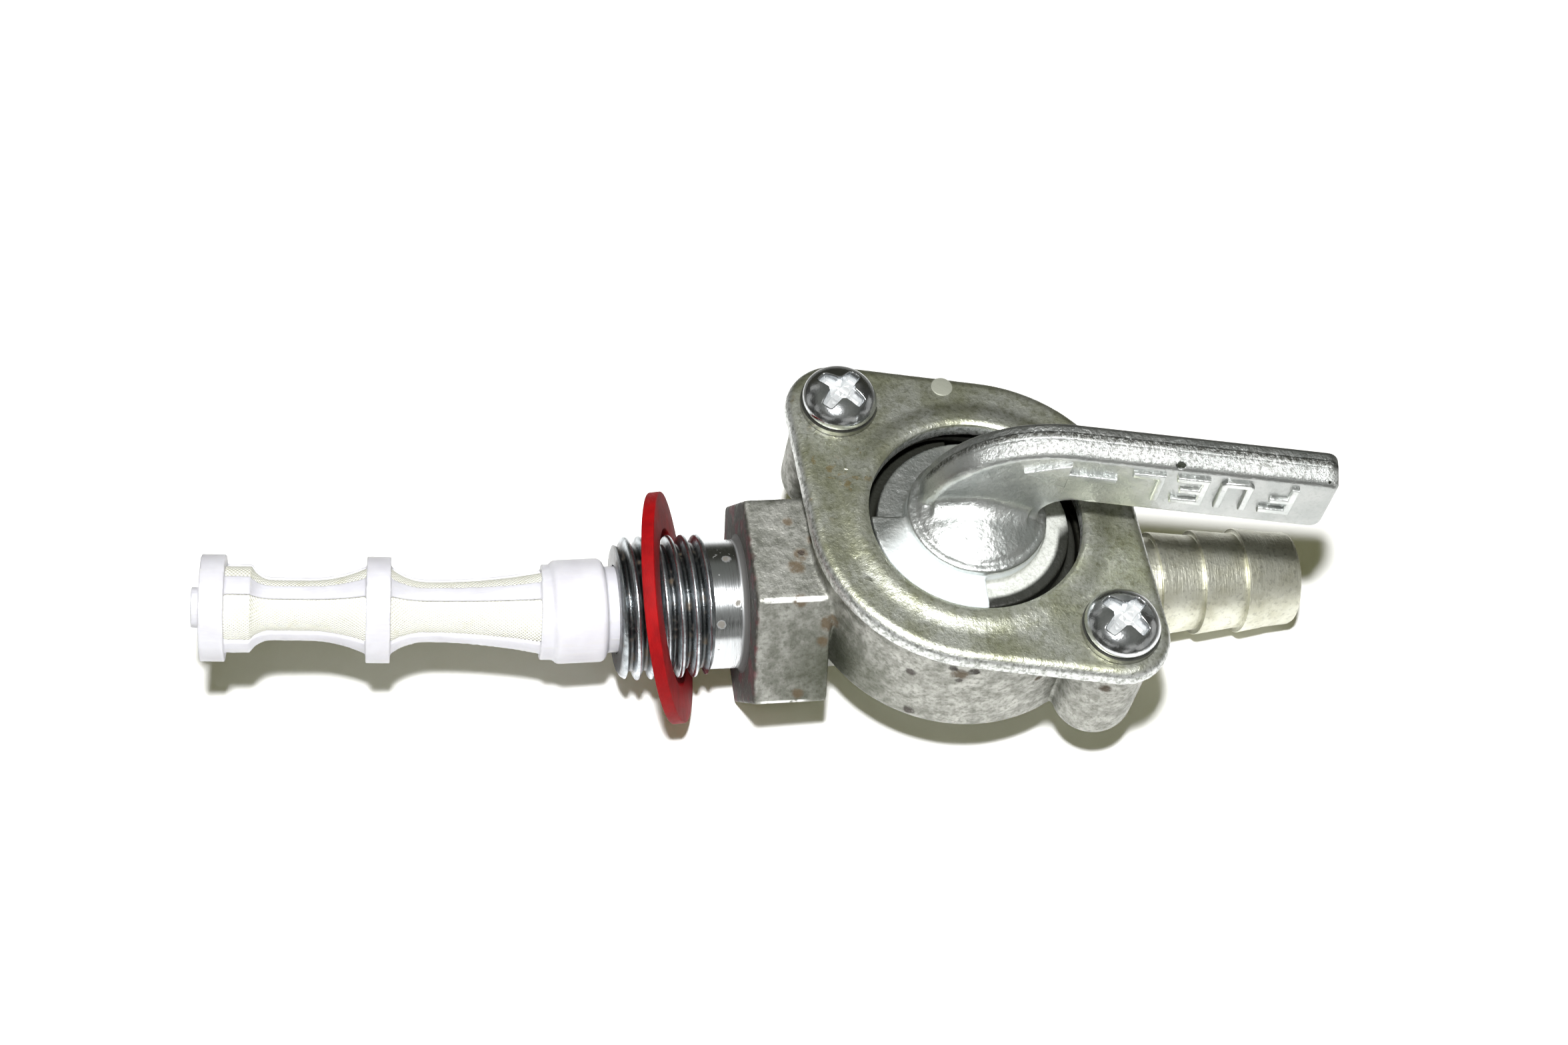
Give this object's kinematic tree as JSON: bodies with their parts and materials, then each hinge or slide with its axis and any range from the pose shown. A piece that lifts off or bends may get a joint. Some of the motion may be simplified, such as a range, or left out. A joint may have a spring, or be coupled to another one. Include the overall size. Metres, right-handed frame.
{
  "type": "fuel tap",
  "caption": "Small in-line fuel tap with a quarter-turn lever, a hexagon, a threaded tank inlet with a gauze strainer, and a hose barb.",
  "frame": {"origin": "on the inlet's axis, in the plane of the hexagon's sealing shoulder", "axes": "+X along the flow from the tank thread to the hose barb, +Z out of the cover plate along the lever's turning axis"},
  "size_m": [0.0779, 0.0262, 0.0272],
  "materials": {
    "casting": "die-cast, dull grey, with a few rust-brown specks",
    "nitrile": "smooth moulded rubber",
    "lever_casting": "die-cast, satin",
    "spring_steel": "bright spring steel",
    "plate": "zinc plated, slightly olive",
    "washer_steel": "zinc plated",
    "screw_steel": "bright plated",
    "nylon": "white translucent moulding",
    "gauze": "fine white woven gauze",
    "fibre": "red vulcanised fibre"
  },
  "bodies": {
    "tap_body": {"valve_body": "casting", "port_seal": "nitrile", "wave_spring": "spring_steel", "cover_plate": "plate", "lock_washers": "washer_steel", "cover_screws": "screw_steel", "strainer_frame": "nylon", "strainer_gauze": "gauze", "sealing_washer": "fibre"},
    "lever": {"lever": "lever_casting"}
  },
  "joints": [
    {"name": "lever_turn", "type": "hinge", "parent": "tap_body", "child": "lever", "pos_m": [0.0152, 0, 0.0092], "axis": [0, 0, 1], "range_deg": [-80, 10]}
  ]
}
